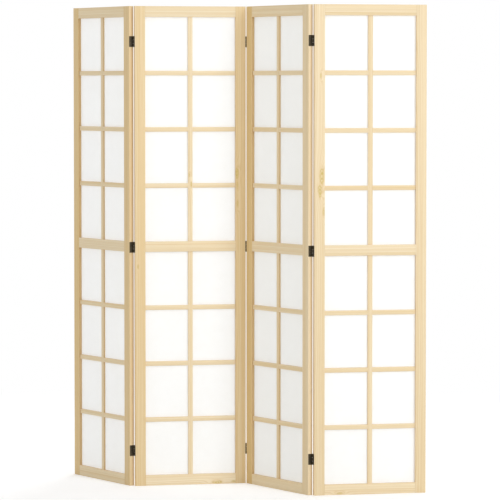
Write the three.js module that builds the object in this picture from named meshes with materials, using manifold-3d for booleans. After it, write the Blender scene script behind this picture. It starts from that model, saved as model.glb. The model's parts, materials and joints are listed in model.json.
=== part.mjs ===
// Four-panel shoji folding screen: pine frames, a glued lattice and one paper sheet a panel,
// joined edge to edge by butt hinges whose knuckles stand behind, in front, and behind again.
// Units are millimetres. +Z is up, the front of the screen looks along -Y, and +X runs along
// the zigzag from the first panel to the last. A panel is drawn in its own frame: x from its
// left edge, y from its front face towards its back, z from the floor.

import * as THREE from 'three';
import { mergeVertices } from 'three/addons/utils/BufferGeometryUtils.js';
import Module from 'manifold-3d';

const wasm = await Module();
wasm.setup();

// ---------------------------------------------------------------- driving dimensions

const panelCount = 4;
const panelHeight = 1700;
const panelWidth = 400;
const panelThickness = 17.5;
const restFold = THREE.MathUtils.degToRad(69.7);  // turn from one panel to the next as it stands

const stileWidth = 37;
const topRailHeight = 38;
const middleRailHeight = 36.5;
const bottomRailHeight = 37;
const middleRailCentre = 850;
const arris = 0.6;                 // eased outer corners of the stiles

const barWidth = 16;               // face of a lattice bar
const barThickness = 6.5;
const barPitch = 199;              // between crossbars, measured centre to centre
const crossbarsPerLattice = 3;
const latticeSetback = 3.8;        // lattice face behind the stile face

const paperThickness = 0.5;
const paperLap = 9;                // paper glued over the frame, beyond the sight size
const rebateMargin = 1;            // rebate beyond the paper's edge

const railTenonLength = 20;
const railTenonHeight = 26;
const railTenonThickness = 5;
const railTenonSetback = 4.5;      // tenon's front face behind the stile face
const barTenonLength = 6;
const barTenonWidth = 10;
const barTenonThickness = 3.5;

const hingeHeight = 38;
const hingeFromEnd = 125;          // centre of the end hinges, from the panel's top and bottom
const middleHingeDrop = 2;         // centre of the middle hinges below the middle rail's
const leafThickness = 1.1;
const leafReach = 17.6;            // from the pin's axis to the leaf's far edge
const pinRadius = 0.7;
const pinOvershoot = 0.3;          // pin ends beyond the knuckles
const pinEndRadius = 0.5;          // flat that is left on an eased pin end
const pinEndBevel = 0.2;
const edgeGap = 2.0;               // between two panels' edges when they stand in line
const pinStandoff = 0.6;           // pin's axis beyond the face that its knuckles stand on
const knuckleCount = 3;
const knuckleGap = 0.8;
const screwsPerLeaf = 2;
const screwPitch = 22;
const screwLength = 12;
const screwShankRadius = 1.3;
const screwHeadRadius = 2.6;
const screwHeadDepth = 1.6;
const screwPointLength = 3;

const fitGap = 0.3;                // clearance between pieces that touch on the real screen
const cutThrough = 1;              // how far a cutter runs past the face it opens
const webOverlap = 2;              // stretch that a knuckle's web shares with its plate
const boreGraze = 0.01;            // keeps a bore off the face that its plate rolls from
const weldDistance = 1e-5;         // corners nearer than this are one corner
const arcSteps = 10;
const roundSides = 8;

// ---------------------------------------------------------------- sizes that follow

const paperSeat = latticeSetback + barThickness;
const rebateWidth = paperLap + rebateMargin;
const clearWidth = panelWidth - 2 * stileWidth;
const barTenonSetback = latticeSetback + (barThickness - barTenonThickness) / 2;
const barrelRadius = edgeGap / 2 + leafThickness;
const boreRadius = barrelRadius - leafThickness;
const knuckleLength = (hingeHeight - (knuckleCount - 1) * knuckleGap) / knuckleCount;
const leafNotch = barrelRadius + fitGap;      // where a plate stops beside the other's knuckle
const screwReach = (leafNotch + leafReach) / 2;

const rails = {
  bottom: { low: 0, high: bottomRailHeight, back: panelThickness },
  middle: {
    low: middleRailCentre - middleRailHeight / 2,
    high: middleRailCentre + middleRailHeight / 2,
    back: paperSeat,
  },
  top: { low: panelHeight - topRailHeight, high: panelHeight, back: panelThickness },
};

const lattices = {
  lower: crossbarHeights(rails.bottom.high, rails.middle.low),
  upper: crossbarHeights(rails.middle.high, rails.top.low),
};

const hingeHeights = {
  bottom: hingeFromEnd,
  middle: middleRailCentre - middleHingeDrop,
  top: panelHeight - hingeFromEnd,
};

const pine = { color: 0xecd3a3, roughness: 0.62, metalness: 0 };
const paper = { color: 0xfaf9f4, roughness: 0.9, metalness: 0 };
const darkBronze = { color: 0x2b241d, roughness: 0.45, metalness: 0.85 };

// Heights of the crossbars in one opening: evenly pitched about its middle.
function crossbarHeights(low, high) {
  const centre = (low + high) / 2;
  const levels = [];
  for (let i = 0; i < crossbarsPerLattice; i += 1) {
    levels.push(centre + (i - (crossbarsPerLattice - 1) / 2) * barPitch);
  }
  return { low, high, levels };
}

// ---------------------------------------------------------------- solids and meshes

function toSolid(geometry) {
  geometry.deleteAttribute('normal');
  geometry.deleteAttribute('uv');
  const merged = mergeVertices(geometry, weldDistance);
  return new wasm.Manifold(new wasm.Mesh({
    numProp: 3,
    vertProperties: Float32Array.from(merged.attributes.position.array),
    triVerts: Uint32Array.from(merged.index.array),
  }));
}

function toGeometry(solid) {
  const cut = solid.getMesh();
  const geometry = new THREE.BufferGeometry();
  geometry.setAttribute('position', new THREE.BufferAttribute(cut.vertProperties, 3));
  geometry.setIndex(new THREE.BufferAttribute(cut.triVerts, 1));
  geometry.computeVertexNormals();
  return geometry;
}

function block([x0, x1], [y0, y1], [z0, z1]) {
  const geometry = new THREE.BoxGeometry(Math.abs(x1 - x0), y1 - y0, z1 - z0);
  geometry.translate((x0 + x1) / 2, (y0 + y1) / 2, (z0 + z1) / 2);
  return toSolid(geometry);
}

// A solid whose plan is the given outline, standing from low to high.
function prism(outline, low, high, hole) {
  const shape = new THREE.Shape(outline);
  if (hole) shape.holes.push(new THREE.Path(hole));
  const geometry = new THREE.ExtrudeGeometry(shape, { depth: high - low, bevelEnabled: false });
  geometry.translate(0, 0, low);
  return toSolid(geometry);
}

function joined(solids) {
  return solids.reduce((whole, piece) => whole.add(piece));
}

function cutFrom(solid, cutters) {
  return cutters.reduce((rest, cutter) => rest.subtract(cutter), solid);
}

function named(name, geometry, finish) {
  const mesh = new THREE.Mesh(geometry, new THREE.MeshStandardMaterial(finish));
  mesh.name = name;
  return mesh;
}

// ---------------------------------------------------------------- places on a panel

// x at a distance in from the left or the right edge of the panel.
function inFrom(side, distance) {
  return side === 'left' ? distance : panelWidth - distance;
}

// Plan position from a hinge pin: `into` the panel's width, and `across` its thickness,
// counted from the pin of a hinge on this side whose knuckles stand on this face.
function fromPin(side, face, into, across) {
  const x = inFrom(side, into - edgeGap / 2);
  const y = face === 'back' ? panelThickness + pinStandoff - across : across - pinStandoff;
  return new THREE.Vector2(x, y);
}

function pinBlock(side, face, into, across, heights) {
  const a = fromPin(side, face, into[0], across[0]);
  const b = fromPin(side, face, into[1], across[1]);
  return block([a.x, b.x], [Math.min(a.y, b.y), Math.max(a.y, b.y)], heights);
}

// ---------------------------------------------------------------- lattice and rail joints

const railTenonDepths = [railTenonSetback, railTenonSetback + railTenonThickness];
const barTenonDepths = [barTenonSetback, barTenonSetback + barTenonThickness];

function grown([low, high], gap) {
  return [low - gap, high + gap];
}

function about(centre, size) {
  return [centre - size / 2, centre + size / 2];
}

function railTenonHeights(rail) {
  return about((rail.low + rail.high) / 2, railTenonHeight);
}

// Mortises in a stile, for its three rails and for every crossbar.
function stileMortises(side) {
  const mouth = inFrom(side, stileWidth + cutThrough);
  const cuts = Object.values(rails).map((rail) => block(
    [inFrom(side, stileWidth - railTenonLength - fitGap), mouth],
    grown(railTenonDepths, fitGap),
    grown(railTenonHeights(rail), fitGap),
  ));
  const levels = Object.values(lattices).flatMap((lattice) => lattice.levels);
  for (const level of levels) {
    cuts.push(block(
      [inFrom(side, stileWidth - barTenonLength - fitGap), mouth],
      grown(barTenonDepths, fitGap),
      grown(about(level, barTenonWidth), fitGap),
    ));
  }
  return cuts;
}

// Mortise for the upright bar in a rail, sunk up or down from the height where the bar meets it.
function railMortise(height, direction) {
  const bottom = height + direction * (barTenonLength + fitGap);
  const mouth = height - direction * cutThrough;
  return block(
    grown(about(panelWidth / 2, barTenonWidth), fitGap),
    grown(barTenonDepths, fitGap),
    [Math.min(bottom, mouth), Math.max(bottom, mouth)],
  );
}

// ---------------------------------------------------------------- frame members

function stilePlan(side) {
  return [
    [0, arris],
    [arris, 0],
    [stileWidth, 0],
    [stileWidth, panelThickness],
    [arris, panelThickness],
    [0, panelThickness - arris],
  ].map(([distance, y]) => new THREE.Vector2(inFrom(side, distance), y));
}

// Gain for one hinge leaf in the edge of a stile, open on the knuckle face, and its screw holes.
function hingeSeat(side, face, height) {
  const gain = pinBlock(
    side,
    face,
    [edgeGap / 2 - cutThrough, edgeGap / 2 + leafThickness + fitGap],
    [-cutThrough, leafReach + fitGap],
    grown(about(height, hingeHeight), fitGap),
  );
  return [gain, ...screws(side, face, height, fitGap)];
}

function stile(side, face) {
  const blank = prism(stilePlan(side), 0, panelHeight);
  const rebate = block(
    [inFrom(side, stileWidth - rebateWidth), inFrom(side, stileWidth + cutThrough)],
    [paperSeat, panelThickness + cutThrough],
    [rails.bottom.high - rebateWidth, rails.top.low + rebateWidth],
  );
  const seats = face ? Object.values(hingeHeights).flatMap((z) => hingeSeat(side, face, z)) : [];
  return toGeometry(cutFrom(blank, [rebate, ...stileMortises(side), ...seats]));
}

function rail(place) {
  const { low, high, back } = rails[place];
  const sides = ['left', 'right'];
  const shoulders = sides.map((side) => inFrom(side, stileWidth + fitGap));
  const body = block(shoulders, [0, back], [low, high]);
  const tenons = sides.map((side) => block(
    [inFrom(side, stileWidth - railTenonLength), inFrom(side, stileWidth + cutThrough)],
    railTenonDepths,
    railTenonHeights(rails[place]),
  ));
  const cuts = [];
  const rebateDepths = [paperSeat, panelThickness + cutThrough];
  const rebateRun = [stileWidth - cutThrough, panelWidth - stileWidth + cutThrough];
  if (place !== 'top') cuts.push(railMortise(high, -1));
  if (place !== 'bottom') cuts.push(railMortise(low, 1));
  if (place === 'top') cuts.push(block(rebateRun, rebateDepths, [low - cutThrough, low + rebateWidth]));
  if (place === 'bottom') cuts.push(block(rebateRun, rebateDepths, [high - rebateWidth, high + cutThrough]));
  return toGeometry(cutFrom(joined([body, ...tenons]), cuts));
}

// One upright bar and its crossbars, half-lapped and glued into a single grid with tenoned ends.
function lattice(place) {
  const { low, high, levels } = lattices[place];
  const depths = [latticeSetback, paperSeat];
  const upright = block(about(panelWidth / 2, barWidth), depths, [low + fitGap, high - fitGap]);
  const uprightTenons = block(
    about(panelWidth / 2, barTenonWidth),
    barTenonDepths,
    [low - barTenonLength, high + barTenonLength],
  );
  const run = about(panelWidth / 2, clearWidth - 2 * fitGap);
  const tenonRun = about(panelWidth / 2, clearWidth + 2 * barTenonLength);
  const crossbars = levels.flatMap((level) => [
    block(run, depths, about(level, barWidth)),
    block(tenonRun, barTenonDepths, about(level, barTenonWidth)),
  ]);
  return toGeometry(joined([upright, uprightTenons, ...crossbars]));
}

function paperSheet() {
  const front = paperSeat + fitGap;
  return toGeometry(block(
    about(panelWidth / 2, clearWidth + 2 * paperLap),
    [front, front + paperThickness],
    [rails.bottom.high - paperLap, rails.top.low + paperLap],
  ));
}

// ---------------------------------------------------------------- hinges

// Countersunk screw, or with a gap its hole, from the leaf's face into the stile.
function screws(side, face, height, gap) {
  const holeRim = gap > 0 ? [[screwHeadRadius + gap, 0]] : [];
  const outline = [
    [0, -gap],
    [screwHeadRadius + gap, -gap],
    ...holeRim,
    [screwShankRadius + gap, screwHeadDepth],
    [screwShankRadius + gap, screwLength - screwPointLength],
    [0, screwLength + gap],
  ].map(([radius, depth]) => new THREE.Vector2(radius, depth));
  const place = fromPin(side, face, edgeGap / 2, screwReach);
  const solids = [];
  for (let i = 0; i < screwsPerLeaf; i += 1) {
    const geometry = new THREE.LatheGeometry(outline, roundSides);
    geometry.rotateZ(side === 'left' ? -Math.PI / 2 : Math.PI / 2);
    const level = height + (i - (screwsPerLeaf - 1) / 2) * screwPitch;
    geometry.translate(place.x, place.y, level);
    solids.push(toSolid(geometry));
  }
  return solids;
}

// Plan of one rolled knuckle and its web: the plate runs tangent into the barrel.
function knucklePlan(side, face) {
  const inner = edgeGap / 2;
  const outer = inner + leafThickness;
  const meets = Math.acos(inner / barrelRadius);
  const sweep = 2 * Math.PI - meets;
  const outline = [[outer, leafNotch + webOverlap]];
  for (let i = 0; i <= arcSteps; i += 1) {
    const angle = -sweep * (i / arcSteps);
    outline.push([barrelRadius * Math.cos(angle), barrelRadius * Math.sin(angle)]);
  }
  outline.push([inner, leafNotch + webOverlap]);
  return outline.map(([into, across]) => fromPin(side, face, into, across));
}

function circlePlan(side, face, radius) {
  const points = [];
  for (let i = 0; i < roundSides; i += 1) {
    const angle = 2 * Math.PI * (i / roundSides);
    points.push(fromPin(side, face, radius * Math.cos(angle), radius * Math.sin(angle)));
  }
  return points;
}

// The leaf on the left panel holds the outer knuckles, and the one on the right the others.
function ownsKnuckle(side, index) {
  return (index % 2 === 0) === (side === 'right');
}

// A leaf in the edge of a panel, with its knuckles and the screws that hold it.
function leaf(side, face, height) {
  const [low, high] = about(height, hingeHeight);
  const inner = edgeGap / 2;
  const plate = pinBlock(side, face, [inner, inner + leafThickness], [leafNotch, leafReach], [low, high]);
  const knuckles = [];
  for (let i = 0; i < knuckleCount; i += 1) {
    const start = low + i * (knuckleLength + knuckleGap);
    if (ownsKnuckle(side, i)) {
      const bore = circlePlan(side, face, boreRadius - boreGraze);
      knuckles.push(prism(knucklePlan(side, face), start, start + knuckleLength, bore));
    }
  }
  return toGeometry(joined([plate, ...knuckles, ...screws(side, face, height, 0)]));
}

function pin() {
  const half = hingeHeight / 2 + pinOvershoot;
  const outline = [
    [0, -half],
    [pinEndRadius, -half],
    [pinRadius, -half + pinEndBevel],
    [pinRadius, half - pinEndBevel],
    [pinEndRadius, half],
    [0, half],
  ].map(([radius, height]) => new THREE.Vector2(radius, height));
  const geometry = new THREE.LatheGeometry(outline, roundSides);
  geometry.rotateX(Math.PI / 2);
  return toGeometry(toSolid(geometry));
}

// ---------------------------------------------------------------- assembly

// Knuckles stand behind the screen at its first joint, and change face at every joint after.
function knuckleFace(joint) {
  return joint % 2 === 1 ? 'back' : 'front';
}

function hasJoint(joint) {
  return joint >= 1 && joint < panelCount;
}

// One panel with its frame, lattices and paper, and the hinge leaves let into its edges.
function panel(number) {
  const group = new THREE.Group();
  const prefix = `panel_${number}`;
  const edges = { left: number - 1, right: number };
  for (const [side, joint] of Object.entries(edges)) {
    const face = hasJoint(joint) ? knuckleFace(joint) : null;
    group.add(named(`${prefix}_${side}_stile`, stile(side, face), pine));
  }
  for (const place of Object.keys(rails)) {
    group.add(named(`${prefix}_${place}_rail`, rail(place), pine));
  }
  for (const place of Object.keys(lattices)) {
    group.add(named(`${prefix}_${place}_lattice`, lattice(place), pine));
  }
  group.add(named(`${prefix}_paper`, paperSheet(), paper));
  for (const [side, joint] of Object.entries(edges)) {
    if (hasJoint(joint)) addHinges(group, side, joint);
  }
  return group;
}

// Leaves on one edge of a panel. The pins stay with the panel on the joint's left.
function addHinges(group, side, joint) {
  const face = knuckleFace(joint);
  const hand = side === 'right' ? 'left' : 'right';
  for (const [place, height] of Object.entries(hingeHeights)) {
    const prefix = `hinge_${joint}${joint + 1}_${place}`;
    group.add(named(`${prefix}_${hand}_leaf`, leaf(side, face, height), darkBronze));
    if (side === 'right') {
      const pinMesh = named(`${prefix}_pin`, pin(), darkBronze);
      const axis = fromPin(side, face, 0, 0);
      pinMesh.position.set(axis.x, axis.y, height);
      group.add(pinMesh);
    }
  }
}

// Each panel hangs on the one before it, turned about the pins of their joint.
function foldedScreen() {
  const screen = new THREE.Group();
  screen.rotation.z = -restFold / 2;
  let carrier = panel(1);
  screen.add(carrier);
  for (let joint = 1; joint < panelCount; joint += 1) {
    const face = knuckleFace(joint);
    const onCarrier = fromPin('right', face, 0, 0);
    const onNext = fromPin('left', face, 0, 0);
    const pivot = new THREE.Group();
    pivot.position.set(onCarrier.x, onCarrier.y, 0);
    pivot.rotation.z = face === 'back' ? restFold : -restFold;
    const next = panel(joint + 1);
    next.position.set(-onNext.x, -onNext.y, 0);
    pivot.add(next);
    carrier.add(pivot);
    carrier = next;
  }
  return screen;
}

// The origin is on the floor, under the middle of the standing screen.
function centred(screen) {
  const whole = new THREE.Group();
  whole.add(screen);
  whole.updateMatrixWorld(true);
  const box = new THREE.Box3().setFromObject(whole, true);
  const middle = box.getCenter(new THREE.Vector3());
  screen.position.set(-middle.x, -middle.y, -box.min.z);
  return whole;
}

export default centred(foldedScreen());
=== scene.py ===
"""Shoji folding screen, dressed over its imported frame.

Four pine panels, each with two glued lattices and one sheet of paper, stand in a zigzag on
nine butt hinges. A piece is made in its panel's own frame, with x from the panel's left edge,
y from its front face towards its back and z from the floor, and its mesh is then set where
the panel stands. Lengths are in metres.
"""

import json
import logging
import math
import random
from collections.abc import Callable, Iterator, Sequence
from contextlib import contextmanager
from dataclasses import dataclass, field
from enum import Enum
from functools import partial

import bmesh
import bpy
import numpy as np
from mathutils import Matrix, Vector

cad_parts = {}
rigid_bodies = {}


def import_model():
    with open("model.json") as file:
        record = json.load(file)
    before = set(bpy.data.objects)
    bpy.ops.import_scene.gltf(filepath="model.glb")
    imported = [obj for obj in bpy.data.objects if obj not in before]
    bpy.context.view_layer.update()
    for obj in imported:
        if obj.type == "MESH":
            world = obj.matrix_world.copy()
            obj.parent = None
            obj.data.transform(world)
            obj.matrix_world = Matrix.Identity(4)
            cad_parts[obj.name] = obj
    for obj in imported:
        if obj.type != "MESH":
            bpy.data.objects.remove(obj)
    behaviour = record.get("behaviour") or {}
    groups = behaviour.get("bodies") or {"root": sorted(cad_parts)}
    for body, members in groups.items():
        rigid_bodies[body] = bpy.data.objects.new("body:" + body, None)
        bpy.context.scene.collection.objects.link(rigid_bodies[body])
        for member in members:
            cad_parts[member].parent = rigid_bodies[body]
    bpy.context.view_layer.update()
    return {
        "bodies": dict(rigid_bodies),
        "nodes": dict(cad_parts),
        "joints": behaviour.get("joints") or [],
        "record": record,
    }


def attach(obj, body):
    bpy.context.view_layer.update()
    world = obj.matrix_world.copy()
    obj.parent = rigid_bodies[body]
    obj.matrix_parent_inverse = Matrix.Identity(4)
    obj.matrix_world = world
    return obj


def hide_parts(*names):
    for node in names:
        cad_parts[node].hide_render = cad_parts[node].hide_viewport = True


logging.basicConfig(level=logging.INFO, format="%(name)s: %(message)s")
log = logging.getLogger("screen")

Colour = tuple[float, float, float]
Span = tuple[float, float]
Piece = bpy.types.Object
Socket = bpy.types.NodeSocket
Sockets = bpy.types.bpy_prop_collection
Test = Callable[[object], bool]

MM = 0.001
NEAR = 0.01 * MM  # points closer than this share a place
ALONG = 0.999  # least share of an axis in the way of an edge that runs along it
SQUARE = 0.995  # least share of an axis in the normal of a face that is square to it
ORIGIN = (0.0, 0.0, 0.0)
WHITE = (1.0, 1.0, 1.0)


class Side(Enum):
    """An upright edge of a panel, seen from the front."""

    LEFT = "left"
    RIGHT = "right"


class Face(Enum):
    """The face of a panel that a hinge's knuckles stand on."""

    FRONT = "front"
    BACK = "back"


class Run(Enum):
    """The way a board's grain runs: up the panel, or across it.

    The values are the axes along the grain, across it and through the board.
    """

    UP = (2, 0, 1)
    ACROSS = (0, 2, 1)

    def ordered(self, *spans: Span) -> list[Span]:
        """Returns spans along, across and through the board, in the order of x, y and z."""
        return [spans[self.value.index(axis)] for axis in range(3)]


class Kind(Enum):
    """What edit mode selects and attributes sit on, by bmesh's name and the attribute's."""

    VERT = ("verts", "POINT")
    EDGE = ("edges", "EDGE")
    FACE = ("faces", "FACE")


class Slot(Enum):
    """The record's material slots."""

    PINE = "pine"
    PAPER = "paper"
    BRONZE = "dark_bronze"


# ---------------- tools


class Bench:
    """Tools that shape one piece at a time with Blender's own operators."""

    @staticmethod
    def take(piece: Piece) -> None:
        """Makes one piece the only selected one, and the active one.

        Args:
            piece: the piece.
        """
        bpy.ops.object.select_all(action="DESELECT")
        piece.select_set(True)
        bpy.context.view_layer.objects.active = piece

    @staticmethod
    def added(name: str, operator: Callable[..., set[str]], **settings: object) -> Piece:
        """Adds a primitive, and settles its place in its mesh.

        Args:
            name: the piece's name.
            operator: the operator that adds the primitive.
            **settings: the operator's own settings.

        Returns:
            The piece, at the origin.
        """
        bpy.ops.object.select_all(action="DESELECT")
        operator(**settings)
        bpy.ops.object.transform_apply(location=True, rotation=True, scale=True)
        piece = bpy.context.active_object
        piece.name = piece.data.name = name
        return piece

    @staticmethod
    def block(name: str, *spans: Span) -> Piece:
        """Adds a block between two values on each axis.

        Args:
            name: the piece's name.
            *spans: its two values on x, y and z.

        Returns:
            The block.
        """
        middles = [(start + end) / 2 for start, end in spans]
        sizes = [abs(end - start) for start, end in spans]
        settings = {"size": 1, "location": middles, "scale": sizes}
        return Bench.added(name, bpy.ops.mesh.primitive_cube_add, **settings)

    @staticmethod
    @contextmanager
    def editing(piece: Piece, kind: Kind, chosen: Test | None = None) -> Iterator[None]:
        """Edit mode with only the chosen elements selected.

        Args:
            piece: the piece to shape.
            kind: what is selected.
            chosen: tells whether an element is selected, or None for all of them.

        Yields:
            Nothing, while edit mode lasts.
        """
        Bench.take(piece)
        bpy.ops.object.mode_set(mode="EDIT")
        bpy.ops.mesh.select_mode(type=kind.name)
        bpy.ops.mesh.select_all(action="DESELECT")
        form = bmesh.from_edit_mesh(piece.data)
        for element in getattr(form, kind.value[0]):
            if chosen is None or chosen(element):
                element.select_set(True)
        form.select_flush_mode()
        bmesh.update_edit_mesh(piece.data)
        yield
        bpy.ops.object.mode_set(mode="OBJECT")

    @staticmethod
    def ease(piece: Piece, width: float, steps: int, chosen: Test) -> None:
        """Rounds the chosen edges over a width, with this many faces across the rounding."""
        with Bench.editing(piece, Kind.EDGE, chosen):
            bpy.ops.mesh.bevel(offset=width, segments=steps, affect="EDGES")

    @staticmethod
    def cut(piece: Piece, cutters: Sequence[Piece]) -> None:
        """Cuts the cutters' shapes out of a piece, and throws the cutters away.

        Args:
            piece: the piece to cut.
            cutters: closed pieces that don't touch each other.
        """
        Bench.take(cutters[0])
        for cutter in cutters:
            cutter.select_set(True)
        if len(cutters) > 1:
            bpy.ops.object.join()
        cutter = bpy.context.active_object
        Bench.take(piece)
        modifier = piece.modifiers.new("cut", "BOOLEAN")
        modifier.operation = "DIFFERENCE"
        modifier.solver = "EXACT"
        modifier.object = cutter
        bpy.ops.object.modifier_apply(modifier=modifier.name)
        bpy.data.objects.remove(cutter)

    @staticmethod
    def slice(piece: Piece, axis: int, values: Sequence[float]) -> None:
        """Cuts a piece's faces square to an axis at some values, and keeps all parts.

        Args:
            piece: the piece to cut.
            axis: the axis.
            values: the places of the cuts on it.
        """
        normal = Matrix.Identity(3)[axis].copy()
        for value in values:
            with Bench.editing(piece, Kind.FACE):
                bpy.ops.mesh.bisect(plane_co=normal * value, plane_no=normal)

    @staticmethod
    def tidy(piece: Piece, angle: float = 30.0) -> None:
        """Merges doubles, turns the faces outwards, and smooths all but the sharp edges.

        Args:
            piece: the piece to finish.
            angle: the least turn of a sharp edge, in degrees.
        """
        with Bench.editing(piece, Kind.VERT):
            bpy.ops.mesh.remove_doubles(threshold=0.002 * MM)
            bpy.ops.mesh.normals_make_consistent(inside=False)
            if bmesh.from_edit_mesh(piece.data).calc_volume(signed=True) < 0:
                bpy.ops.mesh.flip_normals()
        Bench.take(piece)
        bpy.ops.object.shade_smooth_by_angle(angle=math.radians(angle))

    @staticmethod
    def copied(piece: Piece, name: str, place: Matrix) -> Piece:
        """Copies a piece with a mesh of its own, and moves the copy's mesh.

        Args:
            piece: the piece to copy.
            name: the copy's name.
            place: where its mesh goes.

        Returns:
            The copy, at the origin.
        """
        copy = bpy.data.objects.new(name, piece.data.copy())
        copy.data.name = name
        copy.data.transform(place)
        bpy.context.scene.collection.objects.link(copy)
        return copy

    @staticmethod
    def mark(piece: Piece, name: str, values: np.ndarray, on: Kind = Kind.VERT) -> None:
        """Writes an attribute for a material to read.

        Args:
            piece: the piece.
            name: the attribute's name.
            values: one value or vector for each point or face.
            on: whether they are for the points or for the faces.
        """
        kind, key = ("FLOAT_VECTOR", "vector") if values.ndim == 2 else ("FLOAT", "value")
        attribute = piece.data.attributes.new(name, kind, on.value[1])
        attribute.data.foreach_set(key, values.astype(np.float32).ravel())

    @staticmethod
    def read(elements: bpy.types.bpy_prop_collection, key: str) -> np.ndarray:
        """Reads a vector of each point or face of a mesh.

        Args:
            elements: the mesh's vertices or polygons.
            key: the vector's name.

        Returns:
            One row for each element.
        """
        found = np.zeros(len(elements) * 3, np.float32)
        elements.foreach_get(key, found)
        return found.reshape(-1, 3)


def between(element: object, axis: int, span: Span) -> bool:
    """True if all of an edge's or a face's points lie in a span on an axis."""
    low, high = wider(span, NEAR)
    return all(low <= vert.co[axis] <= high for vert in element.verts)


def at(axis: int, *values: float) -> Test:
    """Returns a test for edges and faces that lie at one of some values on an axis."""
    return lambda element: any(between(element, axis, (value, value)) for value in values)


def running(axis: int, *tests: Test) -> Test:
    """Returns a test for edges that run along an axis and pass other tests.

    Args:
        axis: the axis.
        *tests: the other tests.

    Returns:
        The test.
    """

    def chosen(edge: bmesh.types.BMEdge) -> bool:
        """True if an edge passes."""
        way = (edge.verts[1].co - edge.verts[0].co).normalized()
        return abs(way[axis]) > ALONG and all(test(edge) for test in tests)

    return chosen


def about(middle: float, size: float) -> Span:
    """Returns the span of a size about its middle."""
    return (middle - size / 2, middle + size / 2)


def wider(span: Span, gap: float) -> Span:
    """Returns a span with a gap added at both ends."""
    return (span[0] - gap, span[1] + gap)


# ---------------- shader wiring


def feed(socket: Socket, value: object) -> None:
    """Links an input to the socket that feeds it, or gives it its value.

    Args:
        socket: the input.
        value: another node's socket, or a value, with no alpha where it is a colour.
    """
    if isinstance(value, bpy.types.NodeSocket):
        socket.id_data.links.new(value, socket)
    else:
        socket.default_value = (*value, 1) if socket.type == "RGBA" else value


class Wiring:
    """Adds nodes to one node tree, and links them."""

    def __init__(self, tree: bpy.types.NodeTree) -> None:
        """Starts on a node tree."""
        self.tree = tree

    def node(
        self, kind: str, values: dict[str | int, object] | None = None, **settings: object
    ) -> bpy.types.Node:
        """Adds a node.

        Args:
            kind: the node's type.
            values: for an input's name or number, the value or the socket that feeds it.
            **settings: the node's own properties.

        Returns:
            The node.
        """
        made = self.tree.nodes.new(kind)
        for key, value in settings.items():
            setattr(made, key, value)
        for key, value in (values or {}).items():
            feed(made.inputs[key], value)
        return made

    def out(self, kind: str, *values: object, **settings: object) -> Socket:
        """Adds a node with its inputs in order, and returns its first output."""
        return self.node(kind, dict(enumerate(values)), **settings).outputs[0]

    def math(self, operation: str, *values: float | Socket) -> Socket:
        """Returns the result of an arithmetic step on one, two or three values."""
        return self.out("ShaderNodeMath", *values, operation=operation)

    def times(self, value: float | Socket, factor: float | Socket) -> Socket:
        """Returns a product."""
        return self.math("MULTIPLY", value, factor)

    def vector(self, operation: str, *values: Colour | Socket) -> Socket:
        """Returns the result of a step on one or two vectors."""
        return self.out("ShaderNodeVectorMath", *values, operation=operation)

    def length(self, vector: Socket) -> Socket:
        """Returns the length of a vector."""
        return self.node("ShaderNodeVectorMath", {0: vector}, operation="LENGTH").outputs[1]

    def parts(self, vector: Socket) -> Sockets:
        """Returns the three parts of a vector."""
        return self.node("ShaderNodeSeparateXYZ", {0: vector}).outputs

    def distance(self, *parts: Socket) -> Socket:
        """Returns the length of a vector of two parts."""
        squares = [self.times(part, part) for part in parts]
        return self.math("SQRT", self.math("ADD", *squares))

    def noise(
        self, vector: Socket, scale: Colour, detail: float = 2.0, roughness: float = 0.5
    ) -> Socket:
        """Makes a soft noise from 0 to 1.

        Args:
            vector: where the noise is read.
            scale: its scale along each part of the vector.
            detail: how many finer noises are added to it.
            roughness: how strong they are.

        Returns:
            The noise.
        """
        place = self.vector("MULTIPLY", vector, scale)
        values = {"Vector": place, "Scale": 1.0, "Detail": detail, "Roughness": roughness}
        return self.node("ShaderNodeTexNoise", values).outputs[0]

    def ramped(self, value: Socket, source: Span, target: Span = (0.0, 1.0)) -> Socket:
        """Returns a value moved smoothly from one span to another, and held there."""
        spans = (*source, *target)
        return self.out("ShaderNodeMapRange", value, *spans, interpolation_type="SMOOTHSTEP")

    def layered(
        self, colour: Colour | Socket, *layers: tuple[float | Socket, Colour | Socket]
    ) -> Socket:
        """Lays colours over a first one in turn.

        Args:
            colour: the first colour.
            *layers: for each of the others, the mask that lets it show, and the colour.

        Returns:
            The colour that shows.
        """
        for mask, over in layers:
            values = {0: mask, 6: colour, 7: over}
            colour = self.node("ShaderNodeMix", values, data_type="RGBA").outputs[2]
        return colour

    def attribute(self, name: str, output: str = "Fac") -> Socket:
        """Returns an output of one of the piece's own attributes."""
        return self.node("ShaderNodeAttribute", attribute_name=name).outputs[output]


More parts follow.
